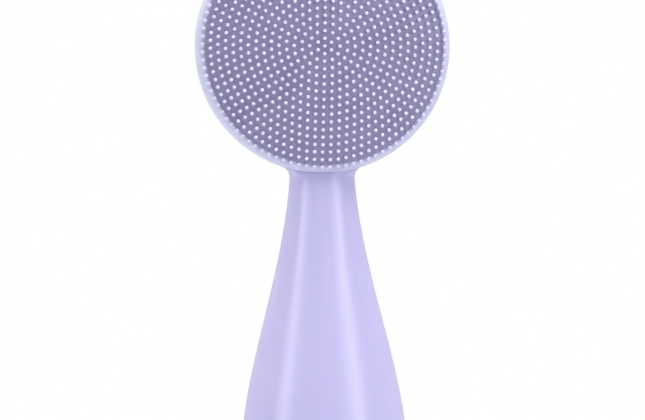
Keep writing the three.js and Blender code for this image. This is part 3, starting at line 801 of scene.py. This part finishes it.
def solder_joint(x, y, z):
    """A rounded lump of solder over the end of a lead."""
    return moved(lathe(arc((0, 0), 0.75, -90, 90, 11) * (1, 0.85), 20), x, y, z)


def board_block(x, z, along, across, tall, edge, lying):
    """A block on the board's face. It is turned to lie across the board when lying is true."""
    half_x, half_z = (along, across) if lying else (across, along)
    return box((x - half_x, x + half_x), (BOARD_FACE - tall, BOARD_FACE), (z - half_z, z + half_z), edge)


def passives():
    """Small resistors and capacitors: their bodies, and all of the board's solder."""
    bodies = []
    ends = [solder_joint(x, (BOARD_FACE + BOARD_BACK) / 2, z) for x, z in LEAD_ENDS]
    for x, z, lying in PASSIVES:
        bodies.append(board_block(x, z, 0.5, 0.31, 0.45, 0.04, lying))
        for off in (-0.6, 0.6):
            end_x, end_z = (x + off, z) if lying else (x, z + off)
            ends.append(board_block(end_x, end_z, 0.2, 0.34, 0.5, 0.06, lying))
    return finished("board_passives", merge(*bodies), 20), finished("board_solder", merge(*ends), 20)


def status_light():
    """A small clear dome, its foot a little way into the board."""
    radius, tall, sunk, x, z = 0.9, 1.6, 0.1, 4.2, 38.5
    dome = [(0, -tall), (0.4, 0.03 - tall), (0.75, 0.3 - tall), (radius, -tall / 2), (radius, 0), (0, 0)]
    return finished("led_dome", moved(about_y(turned(dome, 0.2, 32), z), x, BOARD_FACE - sunk))


def lead(name, *points):
    return finished(name, tube(spline(points), 0.45, 14), 60)


# ---------------- materials

SLEEVE_TONE = ("c3beea", "c6c1ed")
# The face between the bristles is a darker, greyer tone: painted shade from the dense bristles.
FIELD_SHADE_TONE = ("b6b0d0", "aea8ca")
RIM_TONE = ("d4d5f1", "d0d2ef")
# The bristles' feet are a darker tone, painted shade among their neighbours, and their tips a near-white
# one, painted light.
FOOT_SHADE_TONE = "b0a9d8"
TIP_LIT_TONE = "f1eeff"
RIM_TIP_LIT_TONE = "e0dcfb"  # the outermost ring's tips, which stand on the smooth rim, with fainter painted light
BUTTON_TONE = ("b3a9e6", "b6ade8")


def linear(hex_colour):
    """An sRGB colour written as six hex digits, as Blender's linear RGBA."""
    parts = [int(hex_colour[i : i + 2], 16) / 255 for i in (0, 2, 4)]
    return [c / 12.92 if c <= 0.04045 else ((c + 0.055) / 1.055) ** 2.4 for c in parts] + [1]


class Nodes:
    """The node tree of a material or a world, with a short way to add and join its nodes."""

    def __init__(self, owner):
        owner.use_nodes = True
        self.tree = owner.node_tree

    def set(self, node, key, value):
        if isinstance(value, bpy.types.NodeSocket):
            self.tree.links.new(value, node.inputs[key])
        else:
            node.inputs[key].default_value = value

    def add(self, kind, inputs=None, **settings):
        node = self.tree.nodes.new("ShaderNode" + kind)
        for key, value in settings.items():
            setattr(node, key, value)
        for key, value in (inputs or {}).items():
            self.set(node, key, value)
        return node

    def spread(self, value, low, high, from_low=0.3, from_high=0.7, **settings):
        """Stretches a value's range over another, and stops it at both ends."""
        inputs = {"Value": value, "From Min": from_low, "From Max": from_high}
        inputs |= {"To Min": low, "To Max": high}
        return self.add("MapRange", inputs, **settings).outputs["Result"]


class Finish(Nodes):
    """A material's nodes."""

    def __init__(self, name):
        self.material = bpy.data.materials.new(name)
        super().__init__(self.material)
        self.shader = self.tree.nodes["Principled BSDF"]
        self.place = self.add("TexCoord").outputs["Object"]

    def shade(self, **inputs):
        """Sets the surface's inputs."""
        for key, value in inputs.items():
            self.set(self.shader, key.replace("_", " "), value)
        return self

    def noise(self, size_mm, detail=2.0, where=None):
        """Noise from 0 to 1 whose features are about size_mm across."""
        inputs = {"Vector": where or self.place, "Scale": 1 / (size_mm * MM), "Detail": detail}
        return self.add("TexNoise", inputs).outputs["Fac"]

    def math(self, operation, *values):
        return self.add("Math", dict(enumerate(values)), operation=operation).outputs[0]

    def vector(self, operation, *values):
        node = self.add("VectorMath", dict(enumerate(values)), operation=operation)
        return node.outputs["Value" if operation == "LENGTH" else "Vector"]

    def mix(self, share, first, second):
        return self.add("Mix", {0: share, 6: first, 7: second}, data_type="RGBA").outputs[2]

    def bump(self, height, depth_mm, strength=1.0, under=None):
        inputs = {"Height": height, "Distance": depth_mm * MM, "Strength": strength}
        if under is not None:
            inputs["Normal"] = under
        return self.add("Bump", inputs).outputs["Normal"]

    def axis(self, letter):
        return self.add("SeparateXYZ", {"Vector": self.place}).outputs[letter]


def tone(finish, hex_colour, other_hex, size_mm):
    """A colour that drifts a little between two close tones."""
    share = finish.spread(finish.noise(size_mm, 3.0), 0, 1)
    return finish.mix(share, linear(hex_colour), linear(other_hex))


def silicone(name, colour, roughness, skin_depth_mm=1.2, weight=0.2):
    """Soft moulded silicone: a slight glow under the skin, and a very fine matt grain."""
    finish = Finish(name)
    cloud = finish.bump(finish.noise(9), 0.02, 0.3)
    return finish.shade(
        Base_Color=colour(finish),
        Roughness=finish.spread(finish.noise(2.2, 3.0), roughness - 0.03, roughness + 0.04),
        IOR=1.58,
        Subsurface_Weight=weight,
        Subsurface_Radius=(1.0, 0.85, 1.1),
        Subsurface_Scale=skin_depth_mm * MM,
        Normal=finish.bump(finish.noise(0.3), 0.0018, 0.5, cloud),
    )


def on_rim(finish):
    """0 between the bristles, rising to 1 on the smooth rim round them."""
    across = finish.vector("MULTIPLY", finish.place, (1, 0, 1))
    radius = finish.vector("LENGTH", finish.vector("ADD", across, (0, 0, -HEAD_Z * MM)))
    return finish.spread(radius, 0, 1, (FIELD_R - 0.25) * MM, (FIELD_R + 0.35) * MM)


def face_colour_with_painted_shade(finish):
    """Painted shade between the bristles, in a dusky tone, and pale on the smooth rim."""
    return finish.mix(on_rim(finish), tone(finish, *FIELD_SHADE_TONE, 6), tone(finish, *RIM_TONE, 8))


def bristle_painted_shade_and_light(finish):
    """Each bristle brightens from its foot to its tip: painted shade at the foot, among the other bristles,
    and painted light at the tip.
    """
    height = finish.add("Attribute", attribute_name="height").outputs["Fac"]
    rise = finish.spread(height, 0, 1, 0.45, 0.93)
    rim = on_rim(finish)
    foot = finish.mix(rim, linear(FOOT_SHADE_TONE), linear(RIM_TONE[0]))
    tip = finish.mix(rim, linear(TIP_LIT_TONE), linear(RIM_TIP_LIT_TONE))
    return finish.mix(rise, foot, tip)


def patchy(finish, roughness):
    """A roughness with patches that shine more."""
    return finish.spread(finish.noise(2.6, 5.0), roughness - 0.05, roughness + 0.07)


def moulded(name, tones, roughness, grain_mm=0.12, depth_mm=0.005):
    """Hard plastic: a fine eroded grain, a little drift in its colour, and patches that shine more."""
    finish = Finish(name)
    return finish.shade(
        Base_Color=tone(finish, *tones, 11),
        Roughness=patchy(finish, roughness),
        Normal=finish.bump(finish.noise(grain_mm, 4.0), depth_mm, 0.6),
    )


def rubber(name, tones):
    return moulded(name, tones, 0.62, 0.2, 0.012).shade(IOR=1.52)


def clear_epoxy(name):
    return moulded(name, ("f3f3ea", "eeeee2"), 0.12, 0.6, 0.002).shade(Transmission_Weight=0.7, IOR=1.53)


def metal(name, tones, roughness, stretch=(1, 1, 0.06)):
    """Drawn or turned metal: fine lines in its shine, and faint cloudy patches."""
    finish = Finish(name)
    lines = finish.noise(0.12, 3.0, finish.vector("MULTIPLY", finish.place, stretch))
    cloud = finish.spread(finish.noise(1.8, 3.0), -0.04, 0.06)
    return finish.shade(
        Base_Color=tone(finish, *tones, 3),
        Metallic=1.0,
        Roughness=finish.math("ADD", finish.spread(lines, roughness - 0.06, roughness + 0.08), cloud),
        Normal=finish.bump(lines, 0.003, 0.5),
    )


def wrap_film(name):
    """The battery's printed film: dark, with a pale band and a thin line near its button."""
    finish = Finish(name)
    height, band_z, line_half = finish.axis("Z"), BATTERY_TOP - BATTERY_BAND, 0.25
    in_band = finish.math("GREATER_THAN", height, band_z * MM)
    in_line = finish.math("COMPARE", height, (band_z - 1.3) * MM, line_half * MM)
    film = tone(finish, "35435c", "3b4a66", 6)
    return finish.shade(
        Base_Color=finish.mix(finish.math("MAXIMUM", in_band, in_line), film, linear("c9ced8")),
        Roughness=patchy(finish, 0.17),
        Normal=finish.bump(finish.noise(0.5, 4.0), 0.004, 0.6),
        Coat_Weight=0.4,
    )


def solder_mask(name):
    """Green board with paler copper tracks showing through it."""
    finish = Finish(name)
    flat = finish.add("CombineXYZ", {"X": finish.axis("Z"), "Y": finish.axis("X")}).outputs[0]
    bricks = {"Vector": flat, "Scale": 1 / MM, "Brick Width": 9.3, "Row Height": 0.8}
    lines = {"Mortar Size": 0.1, "Mortar Smooth": 0.2}
    tracks = finish.add("TexBrick", bricks | lines, offset=0.31, offset_frequency=3).outputs["Fac"]
    return finish.shade(
        Base_Color=finish.mix(tracks, tone(finish, "1d6642", "195c3a", 6), linear("3a8a5c")),
        Roughness=patchy(finish, 0.34),
        Normal=finish.bump(tracks, 0.03, 0.6),
    )


STEEL = ("c9cacc", "bfc1c4")


def make_finishes():
    """One finish for each slot in the record, and one more for the bristles."""
    table = {
        "lilac_silicone": (silicone, lambda f: tone(f, *SLEEVE_TONE, 30), 0.315),
        "brush_silicone": (silicone, face_colour_with_painted_shade, 0.5),
        "bristle_silicone": (silicone, bristle_painted_shade_and_light, 0.45, 0.5, 0.25),
        "button_silicone": (silicone, lambda f: tone(f, *BUTTON_TONE, 12), 0.33),
        "base_plastic": (moulded, ("b9b0e2", "b4abde"), 0.44),
        "core_plastic": (moulded, ("e9e8ec", "e3e2e8"), 0.36, 0.4, 0.004),
        "seal_rubber": (rubber, ("35343a", "3d3c43")),
        "screw_steel": (metal, STEEL, 0.38),
        "spring_steel": (metal, STEEL, 0.38, (1, 1, 1)),
        "motor_steel": (metal, ("c2c3c6", "b6b8bc"), 0.39),
        "gold_contact": (metal, ("d8b260", "cfa650"), 0.38, (1, 1, 1)),
        "copper_winding": (metal, ("b06a3c", "9c5a30"), 0.4, (0.1, 0.1, 1)),
        "battery_wrap": (wrap_film,),
        "board": (solder_mask,),
        "chip_plastic": (moulded, ("222226", "2a2a2f"), 0.5, 0.1, 0.008),
        "led_lens": (clear_epoxy,),
        "red_wire": (moulded, ("b3322c", "a92d28"), 0.38, 0.6, 0.01),
        "black_wire": (moulded, ("26262a", "2c2c31"), 0.38, 0.6, 0.01),
    }
    return {name: make(name, *values).material for name, (make, *values) in table.items()}


# ---------------- dressing the frame


def dress(piece, body, slot, *nodes, finish=None):
    """Gives a new piece its finish, the record slot's own unless another is named, and its body, and lets
    it stand for its CAD nodes.
    """
    piece.data.materials.append(finishes[finish or slot])
    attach(piece, body)
    if nodes:
        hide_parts(*nodes)


def dress_screws(name, node, length, y, places, way=-1):
    """Screws of one length, all with their seats at the same y. Places are {which one: (x, z)}."""
    for which, (x, z) in places.items():
        screw = finished(name + which, moved(screw_shape(length, way), x, y, z), 30)
        dress(screw, "handle", "screw_steel", node + which)


def smooth_by_angle():
    """A modifier's node group that shades a mesh smooth, except across its sharp edges."""
    group = bpy.data.node_groups.new("smooth_by_angle", "GeometryNodeTree")
    for in_out in ("INPUT", "OUTPUT"):
        group.interface.new_socket("Geometry", in_out=in_out, socket_type="NodeSocketGeometry")
    start, end = map(group.nodes.new, ("NodeGroupInput", "NodeGroupOutput"))
    faces, edges = map(group.nodes.new, ["GeometryNodeSetShadeSmooth"] * 2)
    angle, sharp = map(group.nodes.new, ("GeometryNodeInputMeshEdgeAngle", "FunctionNodeCompare"))
    sharp.inputs[1].default_value = math.radians(32)
    faces.domain, edges.domain = "FACE", "EDGE"
    edges.inputs["Shade Smooth"].default_value = False
    joins = [
        (start.outputs[0], faces.inputs["Geometry"]), (faces.outputs[0], edges.inputs["Geometry"]),
        (angle.outputs["Unsigned Angle"], sharp.inputs[0]), (sharp.outputs[0], edges.inputs["Selection"]),
        (edges.outputs[0], end.inputs[0]),
    ]
    for source, target in joins:
        group.links.new(source, target)
    return group


# CAD nodes whose shape stays, with how far their sharp edges are rounded, in millimetres.
KEPT_NODES = {
    "core_front_shell": 0, "core_rear_shell": 0, "negative_strip": 0.06, "control_board": 0.06,
    "controller_chip": 0.12, "boost_inductor": 0.35, "switch_body": 0.15, "switch_plunger": 0.12,
    "motor_end_cap": 0.12, "eccentric_weight": 0.2, "motor_bracket": 0.12,
}


def keep_nodes():
    """Softens the kept CAD nodes' edges with modifiers, and gives them their finishes."""
    slots = {part["node"]: part["material_slot"] for part in frame["record"]["subparts"]}
    smooth = smooth_by_angle()
    for name, rounding in KEPT_NODES.items():
        node = frame["nodes"][name]
        weld = node.modifiers.new("weld", "WELD")
        weld.merge_threshold = 0.001 * MM
        if rounding:
            bevel = node.modifiers.new("bevel", "BEVEL")
            bevel.width, bevel.segments = rounding * MM, 2
            bevel.angle_limit = math.radians(40)
        node.modifiers.new("smooth", "NODES").node_group = smooth
        for slot in node.material_slots:
            slot.material = finishes[slots[name]]


# ---------------- stage

CAMERA_TURN = -3.8  # it stands a little to the left of the brush's own front
CAMERA_RISE = 1.8
CAMERA_ROLL = -0.42
CAMERA_DISTANCE = 1.6
FRAME_WIDTH = 5.077 * HEAD_R * MM
LOOK_AT = (0, 0, 0.57 * HEIGHT * MM)


def aim(item, turn, rise, distance, roll=0.0):
    """Points a camera or lamp at the brush. Turn 0 is in front, and turn 90 is on the +X side."""
    round_z = Matrix.Rotation(math.radians(turn), 4, "Z")
    tipped = Matrix.Rotation(math.radians(90 - rise), 4, "X")
    rolled = Matrix.Rotation(math.radians(roll), 4, "Z")
    back = Matrix.Translation((0, 0, distance))
    item.matrix_world = Matrix.Translation(LOOK_AT) @ round_z @ tipped @ rolled @ back
    scene.collection.objects.link(item)


def make_camera():
    data = bpy.data.cameras.new("camera")
    data.lens = data.sensor_width * CAMERA_DISTANCE / FRAME_WIDTH
    camera = bpy.data.objects.new("camera", data)
    aim(camera, CAMERA_TURN, CAMERA_RISE, CAMERA_DISTANCE, CAMERA_ROLL)
    bpy.context.scene.camera = camera


def softbox(name, turn, rise, distance, size, power):
    """A rectangular lamp that the camera doesn't see."""
    data = bpy.data.lights.new(name, "AREA")
    data.shape = "RECTANGLE"
    data.size, data.size_y = size
    data.energy = power
    lamp = bpy.data.objects.new(name, data)
    lamp.visible_camera = False
    aim(lamp, turn, rise, distance)


def make_lights():
    softbox("strip_left", -62.5, 20, 0.8, (0.24, 0.7), 2.6)
    softbox("strip_right", 46.5, 20, 0.8, (0.27, 0.7), 2.8)
    softbox("top", 34, 60, 0.9, (0.6, 0.5), 4.4)
    softbox("fill_left", -100, 15, 0.9, (0.4, 0.7), 0.6)
    softbox("back_left", -142, 30, 0.9, (0.3, 0.6), 2.0)
    softbox("back_right", 142, 30, 0.9, (0.3, 0.6), 0.9)
    softbox("back_top", -170, 55, 0.9, (0.35, 0.25), 1.1)


def make_world():
    """The camera sees plain white. The brush is lit by a dim room in front and a pale backdrop behind."""
    world = bpy.data.worlds.new("studio")
    sky = Nodes(world)
    backwards = sky.add("SeparateXYZ", {0: sky.add("TexCoord").outputs["Generated"]}).outputs["Y"]
    backdrop = sky.spread(backwards, 0.125, 0.56, -0.6, 0.75, interpolation_type="SMOOTHSTEP")
    seen = sky.add("LightPath").outputs["Is Camera Ray"]
    strength = sky.add("Mix", {"Factor": seen, "A": backdrop, "B": 1}).outputs["Result"]
    background = sky.tree.nodes["Background"]
    sky.set(background, "Color", (1, 1, 1, 1))
    sky.set(background, "Strength", strength)
    scene.world = world


def make_floor():
    """A pale disc that fades into the white. It is clear from below, and lets light up to the base."""
    radius, fade_from, sides = 0.45, 0.12, 96
    floor = mesh_object("floor", oval(full_turn(sides), radius / MM, radius / MM, 0), [range(sides)])
    finish = Finish("floor")
    finish.shade(Base_Color=tone(finish, "f4f4f6", "f1f1f4", 60), Roughness=0.6)
    away = finish.vector("LENGTH", finish.place)
    fade = finish.spread(away, 0, 1, fade_from, radius, interpolation_type="SMOOTHSTEP")
    from_below = finish.add("NewGeometry").outputs["Backfacing"]
    not_seen = finish.math("SUBTRACT", 1.0, finish.add("LightPath").outputs["Is Camera Ray"])
    let_through = finish.math("MULTIPLY", finish.math("LESS_THAN", away, 2.2 * BASE_HALF * MM), not_seen)
    clear = finish.math("MAXIMUM", finish.math("MAXIMUM", fade, from_below), let_through)
    shaders = {1: finish.shader.outputs[0], 2: finish.add("BsdfTransparent").outputs[0]}
    mixed = finish.add("MixShader", {0: clear} | shaders).outputs[0]
    finish.set(finish.tree.nodes["Material Output"], "Surface", mixed)
    floor.data.materials.append(finish.material)


# ---------------- build

finishes = make_finishes()

button_ring, cap_ring, gasket = seals()
passive_bodies, passive_ends = passives()

dress(silicone_sleeve(), "handle", "lilac_silicone", "silicone_sleeve")
dress(brush_pad(), "handle", "brush_silicone", "brush_pad")
dress(bristles(), "handle", "brush_silicone", finish="bristle_silicone")
dress(power_button(), "button", "button_silicone", "power_button")
dress(button_ring, "button", "seal_rubber", "button_seal")

dress(battery_housing(), "handle", "base_plastic", "battery_housing")
dress(battery_cap(), "cap", "base_plastic", "battery_cap")
dress(gasket, "handle", "seal_rubber", "housing_gasket")
dress(cap_ring, "seal", "seal_rubber", "cap_seal")
dress(flat_ring("cap_plate", (1.5, 7.3), (7.3, 7.6), 0.08), "cap", "gold_contact", "cap_contact")
dress(contact_spring(), "cap", "spring_steel", "contact_spring")
dress(battery_wrap(), "cell", "battery_wrap", "battery")
dress(battery_steel(), "cell", "motor_steel", "battery")
dress(top_contact(), "handle", "gold_contact", "positive_contact")

dress(motor_can(), "handle", "motor_steel", "motor_can")
dress(motor_armature(), "rotor", "copper_winding", "motor_armature")
dress(motor_shaft(), "rotor", "motor_steel", "motor_shaft")

head_screws = {"head_left": (-17, 118), "head_right": (17, 118)}
base_screws = {"base_left": (-11.4, 21), "base_right": (11.4, 21)}
dress_screws("shell_screw_", "core_screw_", 9, 4.7, head_screws | base_screws)
dress_screws("pcb_screw_", "board_screw_", 2.8, -8.15, {"upper": (-4.3, 52.4), "lower": (4.3, 24)})
strap_screws = {"left": (-8.8, 121), "right": (8.8, 121)}
dress_screws("strap_screw_", "bracket_screw_", 3.6, 3.0, strap_screws, way=1)

dress(chip_legs(), "handle", "screw_steel")
dress(passive_bodies, "handle", "chip_plastic")
dress(passive_ends, "handle", "screw_steel")
dress(status_light(), "handle", "led_lens", "status_led")

for side, name, colour in ((-1, "motor_lead_red", "red_wire"), (1, "motor_lead_black", "black_wire")):
    path = [
        (2.2 * side, MOTOR_Y, 111.3), (1.4 * side, 1.2, 104), (1.2 * side, 0.8, 92),
        (1.6 * side, -1.5, 78), (2.4 * side, -6.6, 66), (2.8 * side, -8.7, 55.6),
    ]
    dress(lead("wire_" + name, *path), "handle", colour, name)
positive = lead("wire_positive", (0, -1, 59.9), (0, -4, 61), (0, -7.6, 59.4), (0, -8.7, 55.6))
dress(positive, "handle", "red_wire", "positive_lead")
negative = lead("wire_negative", (8.5, 0, 49), (8.9, -2.4, 49.6), (8.4, -6, 49.4), (7.2, -8.6, 49))
dress(negative, "handle", "black_wire", "negative_lead")
keep_nodes()

make_camera()
make_lights()
make_world()
make_floor()
scene.view_settings.view_transform = "Standard"
